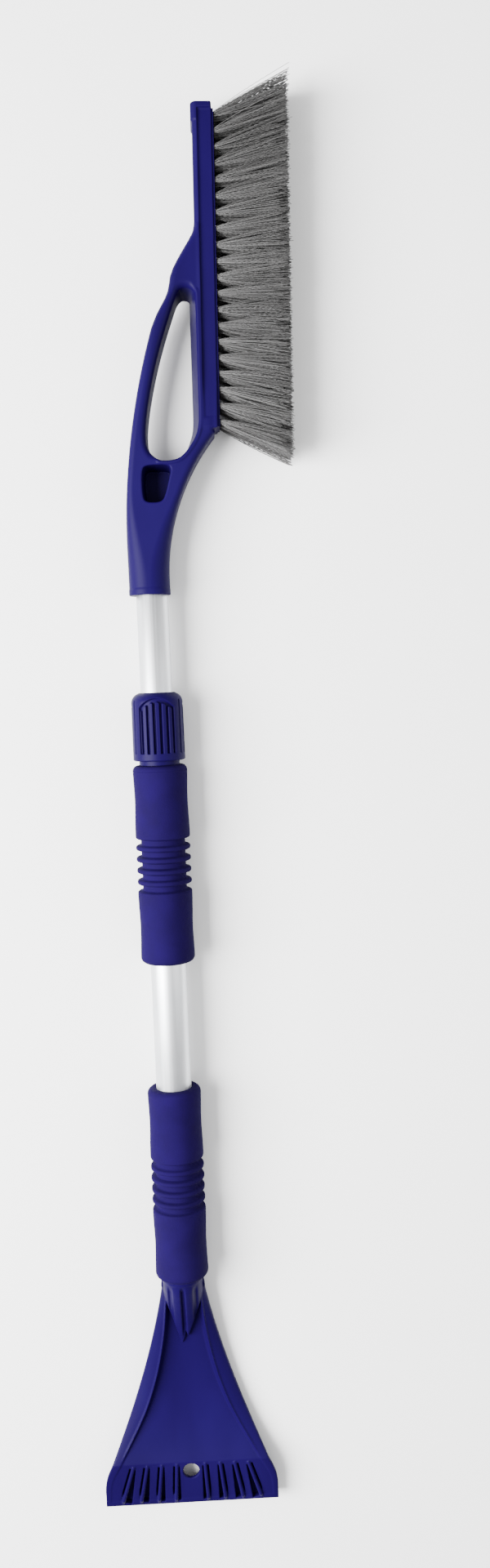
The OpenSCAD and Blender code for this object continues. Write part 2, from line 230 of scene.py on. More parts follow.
def outline_distance(x, y, outline):
    """Signed distance to a closed outline, negative inside."""
    x, y = np.broadcast_arrays(x, y)
    best = np.full(x.shape, 1e9)
    inside = np.zeros(x.shape, bool)
    for (x0, y0), (x1, y1) in zip(outline, np.roll(outline, -1, axis=0)):
        ex, ey = x1 - x0, y1 - y0
        px, py = x - x0, y - y0
        t = np.clip((px * ex + py * ey) / max(ex * ex + ey * ey, 1e-12), 0, 1)
        best = np.minimum(best, (px - t * ex) ** 2 + (py - t * ey) ** 2)
        if y0 != y1:
            inside ^= ((y0 > y) != (y1 > y)) & (x < x0 + (y - y0) * ex / ey)
    return np.where(inside, -1, 1) * np.sqrt(best)


def box_distance(x, y, z, low, high, r):
    """Distance to a box with rounded edges."""
    q = [np.abs(p - (a + b) / 2) - (b - a) / 2 + r for p, a, b in zip((x, y, z), low, high)]
    out = np.sqrt(sum(np.maximum(v, 0) ** 2 for v in q))
    return out + np.minimum(np.maximum(q[0], np.maximum(q[1], q[2])), 0) - r


def arc(cx, cy, r, start, end, count=24):
    """Points on an arc between two angles in degrees."""
    turn = np.radians(np.linspace(start, end, count))
    return [(cx + r * math.cos(t), cy + r * math.sin(t)) for t in turn]


def rounded_corners(outline, passes=3):
    """Cuts an outline's corners again and again until it is smooth."""
    points = np.asarray(outline, float)
    for _ in range(passes):
        after = np.roll(points, -1, axis=0)
        points = np.stack([0.75 * points + 0.25 * after, 0.25 * points + 0.75 * after], 1)
        points = points.reshape(-1, 2)
    return points


# ---------------------------------------------------------------- materials

def new_material(name):
    """A material with its nodes, links and shader."""
    material = bpy.data.materials.new(name)
    material.use_nodes = True
    nodes = material.node_tree.nodes
    return material, nodes, material.node_tree.links, nodes["Principled BSDF"]


def noise(nodes, links, scale, detail=4, stretch=(1, 1, 1)):
    """Noise in the row frame, whose pattern is scale per metre along each stretched axis."""
    place_node = nodes.new("ShaderNodeTexCoord")
    mapping = nodes.new("ShaderNodeMapping")
    mapping.inputs["Scale"].default_value = stretch
    texture = nodes.new("ShaderNodeTexNoise")
    texture.inputs["Scale"].default_value = scale
    texture.inputs["Detail"].default_value = detail
    links.new(place_node.outputs["Object"], mapping.inputs["Vector"])
    links.new(mapping.outputs["Vector"], texture.inputs["Vector"])
    return texture


def ramp(nodes, links, source, low, high, start=0.3, end=0.7):
    """Spreads a factor over two colours."""
    node = nodes.new("ShaderNodeValToRGB")
    node.color_ramp.elements[0].position = start
    node.color_ramp.elements[1].position = end
    node.color_ramp.elements[0].color = (*low, 1)
    node.color_ramp.elements[1].color = (*high, 1)
    links.new(source, node.inputs["Fac"])
    return node.outputs["Color"]


def grey_range(nodes, links, source, low, high):
    """Spreads a factor over two numbers."""
    node = nodes.new("ShaderNodeMapRange")
    node.inputs["To Min"].default_value = low
    node.inputs["To Max"].default_value = high
    node.inputs["From Min"].default_value = 0.25
    node.inputs["From Max"].default_value = 0.75
    links.new(source, node.inputs["Value"])
    return node.outputs["Result"]


def bump(nodes, links, shader, source, distance, strength=1.0, under=None):
    """Raises the surface by a texture, on top of another bump if there is one."""
    node = nodes.new("ShaderNodeBump")
    node.inputs["Distance"].default_value = distance
    node.inputs["Strength"].default_value = strength
    links.new(source, node.inputs["Height"])
    if under:
        links.new(under.outputs["Normal"], node.inputs["Normal"])
    links.new(node.outputs["Normal"], shader.inputs["Normal"])
    return node


def blue_plastic():
    """Moulded polypropylene: faint flow marks, fine orange peel and a soft gloss."""
    material, nodes, links, shader = new_material("blue_moulding")
    flow = noise(nodes, links, 22, 3, (1, 0.35, 1))
    peel = noise(nodes, links, 900, 2)
    links.new(ramp(nodes, links, flow.outputs["Fac"], (0.0036, 0.0004, 0.026), (0.0050, 0.0007, 0.037)),
              shader.inputs["Base Color"])
    links.new(grey_range(nodes, links, flow.outputs["Fac"], 0.40, 0.50), shader.inputs["Roughness"])
    bump(nodes, links, shader, peel.outputs["Fac"], 0.00004, 0.5)
    shader.inputs["Specular IOR Level"].default_value = 0.04
    return material


def foam():
    """Closed-cell foam: matte, with open cells cut by the skiving."""
    material, nodes, links, shader = new_material("grip_foam")
    cells = nodes.new("ShaderNodeTexVoronoi")
    cells.inputs["Scale"].default_value = 1500
    coordinate = nodes.new("ShaderNodeTexCoord")
    links.new(coordinate.outputs["Object"], cells.inputs["Vector"])
    cloud = noise(nodes, links, 60, 4)
    links.new(ramp(nodes, links, cloud.outputs["Fac"], (0.0044, 0.0010, 0.025), (0.0058, 0.0014, 0.033)),
              shader.inputs["Base Color"])
    links.new(grey_range(nodes, links, cloud.outputs["Fac"], 0.72, 0.86), shader.inputs["Roughness"])
    pores = bump(nodes, links, shader, cells.outputs["Distance"], 0.00015, 0.4)
    bump(nodes, links, shader, cloud.outputs["Fac"], 0.0003, 0.3, pores)
    shader.inputs["Specular IOR Level"].default_value = 0.03
    return material


def aluminium():
    """Drawn tube: fine streaks along the handle under a satin finish."""
    material, nodes, links, shader = new_material("tube_aluminium")
    streaks = noise(nodes, links, 700, 3, (1, 0.01, 1))
    cloud = noise(nodes, links, 30, 3)
    links.new(ramp(nodes, links, cloud.outputs["Fac"], (0.58, 0.595, 0.62), (0.66, 0.67, 0.69)),
              shader.inputs["Base Color"])
    links.new(grey_range(nodes, links, streaks.outputs["Fac"], 0.38, 0.50), shader.inputs["Roughness"])
    bump(nodes, links, shader, streaks.outputs["Fac"], 0.00003, 0.5)
    shader.inputs["Metallic"].default_value = 1.0
    return material


def steel():
    """Zinc plated steel, slightly cloudy."""
    material, nodes, links, shader = new_material("steel")
    cloud = noise(nodes, links, 400, 4)
    links.new(ramp(nodes, links, cloud.outputs["Fac"], (0.52, 0.53, 0.55), (0.64, 0.65, 0.67)),
              shader.inputs["Base Color"])
    links.new(grey_range(nodes, links, cloud.outputs["Fac"], 0.25, 0.42), shader.inputs["Roughness"])
    shader.inputs["Metallic"].default_value = 1.0
    return material


def acetal():
    """Natural acetal: off-white and faintly mottled."""
    material, nodes, links, shader = new_material("white_acetal")
    cloud = noise(nodes, links, 120, 3)
    links.new(ramp(nodes, links, cloud.outputs["Fac"], (0.76, 0.76, 0.72), (0.84, 0.84, 0.81)),
              shader.inputs["Base Color"])
    links.new(grey_range(nodes, links, cloud.outputs["Fac"], 0.38, 0.5), shader.inputs["Roughness"])
    return material


def filament():
    """Crimped grey filament: every strand has its own tone."""
    material, nodes, links, shader = new_material("bristle")
    tone = nodes.new("ShaderNodeAttribute")
    tone.attribute_name = "tone"
    grain = noise(nodes, links, 800, 2)
    mixed = nodes.new("ShaderNodeMath")
    mixed.operation = "MULTIPLY_ADD"
    mixed.inputs[1].default_value = 0.25
    links.new(grain.outputs["Fac"], mixed.inputs[0])
    links.new(tone.outputs["Fac"], mixed.inputs[2])
    dark, pale = (0.023, 0.0223, 0.022), (0.072, 0.0707, 0.070)
    tones = ramp(nodes, links, mixed.outputs["Value"], dark, pale, 0.1, 1.15)
    links.new(tones, shader.inputs["Base Color"])
    links.new(grey_range(nodes, links, grain.outputs["Fac"], 0.30, 0.42), shader.inputs["Roughness"])
    shader.inputs["Specular IOR Level"].default_value = 0.6
    return material


BLUE = blue_plastic()
FOAM = foam()
ALUMINIUM = aluminium()
STEEL = steel()
ACETAL = acetal()
BRISTLE = filament()

# ---------------------------------------------------------------- brush head

MOUTH = span("brush_head")[0]
BAR_X, BAR_Y = 36.6, MOUTH + 109.5
BAR_W, BAR_LEN = 13.0, 210.0
BAR_LEAN = math.radians(1)
HALF_T = 12.5
SOCKET_R = 14.3
BORE_R, BORE_DEPTH = 11.05, 57.5
SCREW_Y, SCREW_HEAD_R = MOUTH + 25, 3.6
PANEL_MARGIN = 3.6
STRIP_LIP, STRIP_LEN = 1.3, 205.0
STRIP_DEPTH, STRIP_HALF = 7, 10.05


def leaning(x, y):
    """Coordinates in the brush bar's own frame, which leans towards the bristles."""
    dx, dy = x - BAR_X, y - BAR_Y
    c, s = math.cos(BAR_LEAN), math.sin(BAR_LEAN)
    return dx * c - dy * s, dx * s + dy * c


def from_leaning(points):
    """Points in the brush bar's frame, to the tool's frame."""
    c, s = math.cos(BAR_LEAN), math.sin(BAR_LEAN)
    x = BAR_X + points[:, 0] * c + points[:, 1] * s
    y = BAR_Y - points[:, 0] * s + points[:, 1] * c
    return np.stack([x, y, points[:, 2]], 1)


LOOP_OUTLINE = np.array(
    [(12.6, MOUTH - 40), (-15.5, MOUTH - 40)]
    + arc(474.5, MOUTH + 28, 490, 180, 162.4, 30)
    + [(8.9, BAR_Y + 70), (11.4, BAR_Y + 75.5), (14.8, BAR_Y + 81.3), (17.6, BAR_Y + 86.0),
       (19.4, BAR_Y + 90.0), (20.6, BAR_Y + 95), (21.4, BAR_Y + 99.5), (23.6, BAR_Y + 105),
       (26.4, BAR_Y + 110), (30.6, BAR_Y + 116.6), (34.6, BAR_Y + 122.6), (37.6, BAR_Y + 127.6),
       (40.0, BAR_Y + 133), (44, BAR_Y + 133), (47, BAR_Y + 4)]
    + arc(160.6, MOUTH + 11, 148, 140, 180, 30))

WINDOW = rounded_corners(
    arc(31.4, BAR_Y + 86, 6.6, 0, 150, 8)
    + [(17.7, BAR_Y + 68.5), (11.5, BAR_Y + 50), (6.3, BAR_Y + 31), (2.2, BAR_Y + 11.5),
       (0.5, BAR_Y - 3), (1.2, BAR_Y - 13), (8, BAR_Y - 20.5), (15.5, BAR_Y - 21.0),
       (24, BAR_Y - 19.5), (33, BAR_Y - 9), (37.2, BAR_Y + 1), (37.4, BAR_Y + 20)])

POCKET = rounded_corners([(-3.0, BAR_Y - 26.5), (0.4, BAR_Y - 23.2), (14.6, BAR_Y - 23.6),
                          (17.2, BAR_Y - 25.8), (16.2, BAR_Y - 30.5), (12.4, BAR_Y - 44.5),
                          (9.4, BAR_Y - 48.3), (0, BAR_Y - 48.3), (-3.0, BAR_Y - 45)], 2)


def head_field(x, y, z):
    """The whole head: round socket, loop, brush bar and all that is cut out of them."""
    edge = outline_distance(x, y, LOOP_OUTLINE)
    window = outline_distance(x, y, WINDOW)
    pocket = outline_distance(x, y, POCKET)
    lx, ly = leaning(x, y)
    height = np.abs(z)
    # Round at the socket's mouth, and flatter further up the loop.
    up = smooth_step(MOUTH + 8, MOUTH + 74, y)
    lip = 0.2 * smooth_step(MOUTH + 5, MOUTH + 3.5, y)
    body = round_both(edge - lip, height - HALF_T - 1.7 * (1 - up) - lip, 4.2 + 9.3 * (1 - up))
    body = round_both(body, MOUTH - y, 0.8)
    # The brush bar, with a chamfered back edge and a slightly thicker end.
    cap = 0.9 * smooth_step(BAR_LEN - 12, BAR_LEN - 11, ly)
    bar = box_distance(lx, ly, z, (-cap, 0, -HALF_T), (BAR_W, BAR_LEN, HALF_T), 1.2)
    bar = soft_max(bar, (height - HALF_T + 2.6 - (lx + cap) * 0.85) * 0.76, 0.8)
    body = soft_min(body, bar, 2.0)
    # A shallow panel in both faces of the bar, held in by a rim.
    panel = np.maximum(np.maximum(PANEL_MARGIN - lx, lx - BAR_W - 1), np.maximum(6 - ly, ly - BAR_LEN + 4))
    panel_depth = 1.4 * smooth_step(8, 44, ly)
    panel_floor = HALF_T - panel_depth - height + 0.6 * np.maximum(panel + 1.2, 0)
    body = soft_max(body, -np.maximum(panel, panel_floor), 0.5)
    # The finger window: soft towards the grip, with a bead round its other sides.
    beside_grip = smooth_step(4, -3, lx + 31.5 - np.clip(ly + 6, 0, 110) * 0.30)
    bead = soft_max(np.abs(window - 1.5) - 1.0, height - HALF_T - 0.5, 0.6)
    bead = np.maximum(bead, HALF_T - 3 - height) + 4 * beside_grip
    body = soft_min(body, bead, 0.6)
    draft = (0.04 + 0.14 * smooth_step(24, 32, x)) * (HALF_T - z)
    body = -round_either(-body, window + draft, 0.9 + 3.0 * beside_grip)
    # The blind pocket under the window opens towards the front face.
    hollow = np.maximum(pocket + 0.06 * (HALF_T - z), 3.5 - HALF_T - z)
    body = soft_max(body, -hollow, 0.9)
    # Bore for the tube, the strip's seat and the screw's counterbore at the back.
    bore = np.maximum(np.sqrt(x * x + z * z) - BORE_R, y - MOUTH - BORE_DEPTH)
    body = soft_max(body, -bore, 0.3)
    seat = np.maximum(BAR_W - STRIP_DEPTH - lx, height - STRIP_HALF)
    seat = np.maximum(seat, np.maximum(0.9 - ly, ly - STRIP_LEN - 1.1))
    body = np.maximum(body, -seat)
    screw = np.maximum(np.sqrt(x * x + (y - SCREW_Y) ** 2) - SCREW_HEAD_R, z + SOCKET_R - 2)
    return np.maximum(body, -screw)


def brush_head():
    """The moulded head as one mesh."""
    step = FINE_STEP
    low, high = extent("brush_head")
    points, quads = surface(head_field, low, high, step)
    mesh = quad_mesh("brush_head_moulding", points, quads)
    finish_piece("brush_head_moulding", mesh, "brush_head", "head", BLUE)


brush_head()

# ---------------------------------------------------------------- scraper

SHOULDER = span("outer_tube")[0]
BLADE_HALF = 63.7
KINK = 33.6
NECK_R = 14.5
HOLE_Y, HOLE_R = 26.4, 6
RIBS, RIB_Y, RIB_HALF = 4, 15.6, 1.3
FIRST_RIB, RIB_PITCH = 11.2, 12
SLOT_FLOOR, GUTTER_FLOOR, GUTTER_WALL = 6.2, 5, 1.2
SPIGOT_R, SPIGOT_LEN = 11.4, 45
LEFT_TIP, RIGHT_TIP, TONGUE_WIDE = 122.6, 129.0, 160.6


def scraper_outline():
    """Outline seen from above: a straight edge, round corners and a flare up to the neck."""
    turn, neck_turn, corner_r, straight = 25, 9, 39, 11.6
    corner_top = straight + corner_r * math.sin(math.radians(turn))
    flare_x = BLADE_HALF - corner_r * (1 - math.cos(math.radians(turn)))
    rise = math.sin(math.radians(turn)) - math.sin(math.radians(neck_turn))
    flare_r = (SHOULDER - corner_top) / rise
    cx = flare_x + flare_r * math.cos(math.radians(turn))
    cy = corner_top + flare_r * math.sin(math.radians(turn))
    half = ([(BLADE_HALF, 0)] + arc(BLADE_HALF - corner_r, straight, corner_r, 0, turn, 10)
            + arc(cx, cy, flare_r, 180 + turn, 180 + neck_turn, 24)[1:])
    return np.array(half + [(-x, y) for x, y in half[::-1]])


SCRAPER_OUTLINE = scraper_outline()


def curve(y, *stations):
    """Smooth value along y through (y, value) stations."""
    ys, hs = np.array(stations, float).T
    y = np.clip(y, ys[0], ys[-1])
    i = np.clip(np.searchsorted(ys, y) - 1, 0, len(ys) - 2)
    slope = np.gradient(hs, ys)
    width = ys[i + 1] - ys[i]
    t = (y - ys[i]) / width
    return ((1 + 2 * t) * (1 - t) ** 2 * hs[i] + t * (1 - t) ** 2 * width * slope[i]
            + t * t * (3 - 2 * t) * hs[i + 1] + t * t * (t - 1) * width * slope[i + 1])


def floor_height(y):
    """Height of the scooped floor along its middle, and of the bevel under it."""
    scoop = curve(y, (KINK, -4.0), (42, -6.6), (56, -9.6), (80, -11.8), (105, -11.5), (135, -8.6),
                  (160, -5.0), (SHOULDER, -2.0))
    return np.where(y < KINK, -7.4 + 3.4 * y / KINK, scoop)


def tongue_field(x, y, z, floor):
    """The round neck, which runs out onto the floor as two columns with a groove between them."""
    across = np.abs(x)
    crown = curve(y, (118, 0.2), (126, 2.1), (134, 4.5), (142, 6.8), (152, 9.8), (162, 13.0),
                  (171, 15.6), (SHOULDER, 16.5))
    arch = NECK_R - np.sqrt(np.maximum(NECK_R ** 2 - across ** 2, 4))
    flute = smooth_step(SHOULDER - 3, SHOULDER - 9, y) * smooth_step(124, 140, y)
    valley = 2.4 * smooth_step(2.1, 0.5, across) + 1.5 * smooth_step(2.2, 0.3, np.abs(across - 8.9))
    top = np.minimum(floor + crown - arch, np.sqrt(np.maximum(NECK_R ** 2 - across ** 2, 0)))
    top = top - flute * valley
    tip = np.where(x < 0, LEFT_TIP, RIGHT_TIP)
    widening = np.clip((y - tip) / (TONGUE_WIDE - tip), 0, 3)
    side = np.maximum(across - 2.3 - 10.5 * widening, 2.3 - across - 0.38 * np.maximum(y - tip, 0))
    tongue = np.maximum(soft_max((z - top) * 0.75, side * 0.9, 0.4), tip - y)
    inside = outline_distance(x, y, SCRAPER_OUTLINE) - 0.7
    return np.maximum(np.maximum(tongue, inside), np.maximum(floor - 1.5 - z, y - SHOULDER))


def ice_rib(slab, across, y, z, floor, i):
    """Adds ice rib number i on each half of the plate, with the deep blind slots beside it."""
    lean = math.radians(3 + 2.4 * i + 0.8 * i * i)
    c, s = math.cos(lean), math.sin(lean)
    from_rib = across - FIRST_RIB - RIB_PITCH * i
    u = from_rib * c + (y - RIB_Y) * s
    v = (y - RIB_Y) * c - from_rib * s
    wedge = np.maximum(u + RIB_HALF, -(u + 2.0 + (15 - v) * (1.6 + i) / 28))
    thin = np.abs(u - 1.95) - 0.65 * smooth_step(-12, -4, v)
    slot = np.maximum(np.minimum(wedge, thin), np.abs(v - 1) - 14)
    gutter = np.maximum(slot - GUTTER_WALL, np.maximum(z - floor, FLOOR + GUTTER_FLOOR - z))
    slab = np.minimum(slab, gutter)
    slab = soft_max(slab, -np.maximum(slot, FLOOR + SLOT_FLOOR - z), 0.4)
    rib_top = np.minimum(floor + 1.9, -3.4) - 0.4 * u * u - 1.2 * smooth_step(-11, -14.5, v)
    rib = np.maximum(np.abs(u) - RIB_HALF, np.abs(v - 1.2) - 16)
    rib = np.maximum(rib, np.maximum(z - rib_top, floor - 3 - z))
    return soft_min(slab, rib, 0.4)


def neck(x, y, z, floor):
    """The round end under the grip, and the gusset that carries it at the back."""
    radius = np.sqrt(x * x + z * z)
    shank = round_both(radius - NECK_R + 0.8, np.maximum(SHOULDER - 2.5 - y, y - SHOULDER), 0.4)
    back = np.maximum(radius - NECK_R, z - floor)
    back = np.maximum(back, np.maximum((SHOULDER - 9 - y) * 0.5 - z - 15, y - SHOULDER))
    return shank, np.maximum(back, SHOULDER - 40 - y)


def scraper_field(x, y, z):
    """The whole scraper: scooped plate, side bands, ribs, tongue, neck and hanging hole."""
    edge = outline_distance(x, y, SCRAPER_OUTLINE)
    across = np.abs(x)
    inward = -edge
    floor = floor_height(y)
    # Side bands: a ridge at their inner edge, and a convex slope out to the rim.
    band = curve(y, (0, 3.0), (KINK, 5.2), (46, 6.6), (56, 7.8), (72, 9.4), (92, 9.8), (127, 7.9),
                 (161, 4.3), (SHOULDER, 2.5))
    lift = curve(y, (0, 0.25), (KINK, 0.7), (46, 1.6), (62, 3.1), (88, 4.3), (125, 4.6), (161, 4.6),
                 (SHOULDER, 4.6))
    out = np.maximum(band - inward, 0)
    slope = lift * (out / band) * (0.30 + 0.45 * out / band)
    wall = smooth_step(band + 1.1 + 0.55 * lift, band - 0.1, inward)
    top = floor + np.where(inward > band, lift * wall * (0.4 + 0.6 * wall), lift - slope)
    top = top + 0.85 * np.exp(-((inward - band) / 0.8) ** 2) * smooth_step(KINK, 50, y)
    half = np.interp(y, SCRAPER_OUTLINE[:len(SCRAPER_OUTLINE) // 2, 1],
                     SCRAPER_OUTLINE[:len(SCRAPER_OUTLINE) // 2, 0]) + 0.9
    top = np.minimum(top, np.sqrt(np.maximum(half ** 2 - across ** 2, 0)))
    thick = 3.0 - 1.9 * smooth_step(18, 0, y)
    under = floor - thick
    slab = round_both(np.maximum(z - top, under - z) * 0.8, edge, 0.7 - 0.35 * smooth_step(6, 2, y))
    for i in range(RIBS):
        slab = ice_rib(slab, across, y, z, floor, i)
    slab = soft_min(slab, tongue_field(x, y, z, floor), 0.5)
    shank, back = neck(x, y, z, floor)
    slab = soft_min(soft_min(slab, shank, 1.5), back, 2.0)
    spigot = np.maximum(SHOULDER - 4 - y, y - SHOULDER - SPIGOT_LEN)
    slab = np.minimum(slab, np.maximum(np.sqrt(x * x + z * z) - SPIGOT_R, spigot))
    hole = np.sqrt(x * x + (y - HOLE_Y) ** 2) - HOLE_R
    return soft_max(slab, -hole, 0.35)


def scraper():
    """The scraper as one mesh."""
    step = FINE_STEP
    low, high = extent("scraper")
    points, quads = surface(scraper_field, low, high, step)
    mesh = quad_mesh("scraper_moulding", points, quads)
    finish_piece("scraper_moulding", mesh, "scraper", "handle", BLUE)


scraper()

# ---------------------------------------------------------------- foam grips

GRIP_R, WAIST_R, GROOVE_R = 19.0, 18.4, 15.3
GROOVES, GROOVE_PITCH = 5, 8.0


def grip_radius(t, length):
    """Outer radius of a grip at t along its length."""
    pad = (length - GROOVES * GROOVE_PITCH) / 2
    from_end = min(t, length - t)
    waist = (GRIP_R - WAIST_R) * math.sin(math.pi * min(max(from_end / pad, 0), 1)) ** 2
    radius = GRIP_R - waist
    middle = t - length / 2
    if abs(middle) < GROOVES * GROOVE_PITCH / 2:
        phase = abs((middle / GROOVE_PITCH + 0.5) % 1 - 0.5)
        rise = min(max((phase - 0.235) / 0.265, 0), 1)
        radius -= (GRIP_R - GROOVE_R) * (1 - math.sqrt(1 - (1 - rise) ** 3))
    return radius


def foam_grip(node):
    """One foam sleeve, turned round the outer tube."""
    low, high = span(node)
    length = high - low
    inner = TUBE_R + 0.05
    end_r = 4.0
    profile = [(inner, low), (GRIP_R - end_r - 1.5, low)]
    for turn in np.linspace(5, 90, 8):
        a = math.radians(turn)
        profile.append((GRIP_R - end_r + end_r * math.sin(a), low + end_r - end_r * math.cos(a)))
    for t in np.arange(end_r + 0.5, length - end_r, 0.45):
        profile.append((grip_radius(t, length), low + t))
    for turn in np.linspace(90, 5, 8):
        a = math.radians(turn)
        profile.append((GRIP_R - end_r + end_r * math.sin(a), high - end_r + end_r * math.cos(a)))
    profile += [(GRIP_R - end_r - 1.5, high), (inner, high)]
    points, quads = lathe(profile, 144)
    mesh = quad_mesh(node + "_foam", points, quads)
    piece = finish_piece(node + "_foam", mesh, node, "handle", FOAM)


foam_grip("upper_grip")
foam_grip("lower_grip")

# ---------------------------------------------------------------- twist collar

PANELS = 3
PANEL_HALF = math.radians(43)
COLLAR_R, COLLAR_BORE = 18, 15.8
SHOULDER_R = 7.0
PANEL_SINK, LOBE_SINK = 2.3, 1.3
AROUND = 540  # points round the collar


def collar_radius(angle, t, length):
    """Outer radius of the collar at an angle and at t up its length."""
    panel_turn = 2 * math.pi / PANELS
    off = (angle + panel_turn / 2) % panel_turn - panel_turn / 2
    shoulder = np.maximum(t - (length - SHOULDER_R), 0)
    radius = COLLAR_R - SHOULDER_R - 0.25 * t / length
    radius = radius + np.sqrt(np.maximum(SHOULDER_R ** 2 - shoulder ** 2, 0))
    # Each panel is sunk under an arch, and its ribs stand up again between thin grooves.
    arch = length - 3.6 - 6.5 * (off / PANEL_HALF) ** 2
    side = (PANEL_HALF - np.abs(off)) * COLLAR_R
    pitch = math.radians(15)
    phase = np.abs((off / pitch + 1 / 3) % 1 - 0.5) * pitch * COLLAR_R
    crest = arch - 2.4 - 0.35 * phase ** 2
    rib = np.minimum(1.68 - phase, np.minimum(crest - t, side - 1.0))
    floor = np.minimum(np.minimum(side, arch - t), t - 5)
    sunk = smooth_step(0, 0.5, floor) * (1 - smooth_step(-0.1, 0.5, rib))
    # One plain groove runs down each lobe between two panels.
    lobe = 0.55 - np.abs(np.abs(off) - panel_turn / 2) * COLLAR_R
    lobe = np.minimum(lobe, np.minimum(t - 5, length - 5 - t))
    return radius - PANEL_SINK * sunk - LOBE_SINK * smooth_step(-0.2, 0.35, lobe)


def twist_collar():
    """The collar: its outside from collar_radius, and a bore that narrows to a cone at the top."""
    low, high = span("lock_collar")
    length = high - low
    turn = np.linspace(0, 2 * math.pi, AROUND, endpoint=False)
    rise = np.linspace(0.6, length - 0.4, 150)
    top = [(11.6, length), (12.6, length)]
    outer = collar_radius(turn[None, :], rise[::-1, None], length)
    inside = [(17.2, 0.0), (COLLAR_BORE + 0.4, 0.0), (COLLAR_BORE, 0.4), (COLLAR_BORE, 31.0),
              (13.4, 40.5), (11.6, 41.0)]
    radii = np.concatenate([np.full((1, AROUND), r) for r, _ in top] + [outer]
                           + [np.full((1, AROUND), r) for r, _ in inside])
    ys = np.array([t for _, t in top] + rise[::-1].tolist() + [t for _, t in inside]) + low
    ring = np.stack([radii * np.sin(turn), np.repeat(ys[:, None], AROUND, 1), radii * np.cos(turn)], 2)
    count = len(ys)
    k = np.arange(count)[:, None]
    j = np.arange(AROUND)[None, :]
    row, next_row = k * AROUND, (k + 1) % count * AROUND
    next_j = (j + 1) % AROUND
    quads = np.stack([row + j, next_row + j, next_row + next_j, row + next_j], 2)
    mesh = quad_mesh("twist_collar", ring.reshape(-1, 3), quads.reshape(-1, 4))
    finish_piece("twist_collar", mesh, "lock_collar", "collar", BLUE)


twist_collar()

# ---------------------------------------------------------------- tubes

TUBE_WALL = 1.0


def tube(node, body):
    """A drawn tube with broken edges."""
    low, high = extent(node)
    outer = (high.x - low.x) / 2
    inner = outer - TUBE_WALL
    e = 0.25
    profile = [(inner, low.y + e), (inner + e, low.y), (outer - e, low.y), (outer, low.y + e),
               (outer, high.y - e), (outer - e, high.y), (inner + e, high.y), (inner, high.y - e)]
    points, quads = lathe(profile, 128)
    mesh = quad_mesh(node + "_drawn", points, quads)
    finish_piece(node + "_drawn", mesh, node, body, ALUMINIUM)


tube("outer_tube", "handle")
tube("inner_tube", "head")

# ---------------------------------------------------------------- bristles

ROWS, TUFTS, ROW_PITCH = 4, 20, 5.0
FILAMENTS, QUICK_FILAMENTS = 70, 14
FILAMENT_R, TUFT_R = 0.20, 1.45
STRAYS = 0.06  # share of filaments that stand off from their tuft
FREE_LEN = 49.0
FAN = math.radians(20)
ROW_FAN = math.radians(6.3)
CRIMP = 3.4  # length of one crimp wave


def tuft_filaments(row, index, rng, count):
    """Centre lines of one tuft's filaments, in the bar's frame."""
    t = 2 * index / (TUFTS - 1) - 1
    turn = FAN * t * abs(t) ** 0.4
    root_y = 4 + (row % 2) + index * (STRIP_LEN - 7) / (TUFTS - 1)
    root_z = (row - (ROWS - 1) / 2) * ROW_PITCH
    lift = ROW_FAN * root_z / ROW_PITCH
    where = np.sqrt(rng.random(count)) * TUFT_R
    angle = rng.random(count) * 2 * math.pi
    off_y, off_z = where * np.cos(angle), where * np.sin(angle)
    along_y = math.tan(turn) + off_y * 0.012 + rng.normal(0, 0.042, count)
    along_z = math.tan(lift) + off_z * 0.010 + rng.normal(0, 0.016, count)
    along_y += rng.normal(0, 0.10, count) * (rng.random(count) < STRAYS)
    length = FREE_LEN + rng.normal(0, 0.8, count)
    steps = np.linspace(0, 1, int(FREE_LEN / CRIMP * 2) + 1)
    x = steps[None, :] * length[:, None]
    bow = rng.normal(0, 0.9, count)[:, None] * steps ** 2
    splay = 1 + 3.8 * (1 - np.exp(-x / 23))
    y = root_y + off_y[:, None] * splay + along_y[:, None] * x + bow
    z = root_z + off_z[:, None] * (0.4 + 0.6 * splay) + along_z[:, None] * x
    wave = rng.random() * 6.3 + rng.normal(0, 0.7, count)[:, None]
    plane = rng.random(count)[:, None] * 2 * math.pi
    swing = 0.27 * np.cos(x * 2 * math.pi / CRIMP + wave)
    y = y + swing * np.cos(plane)
    z = z + swing * np.sin(plane)
    return np.stack([x + BAR_W + STRIP_LIP - 0.6, y, z], 2)


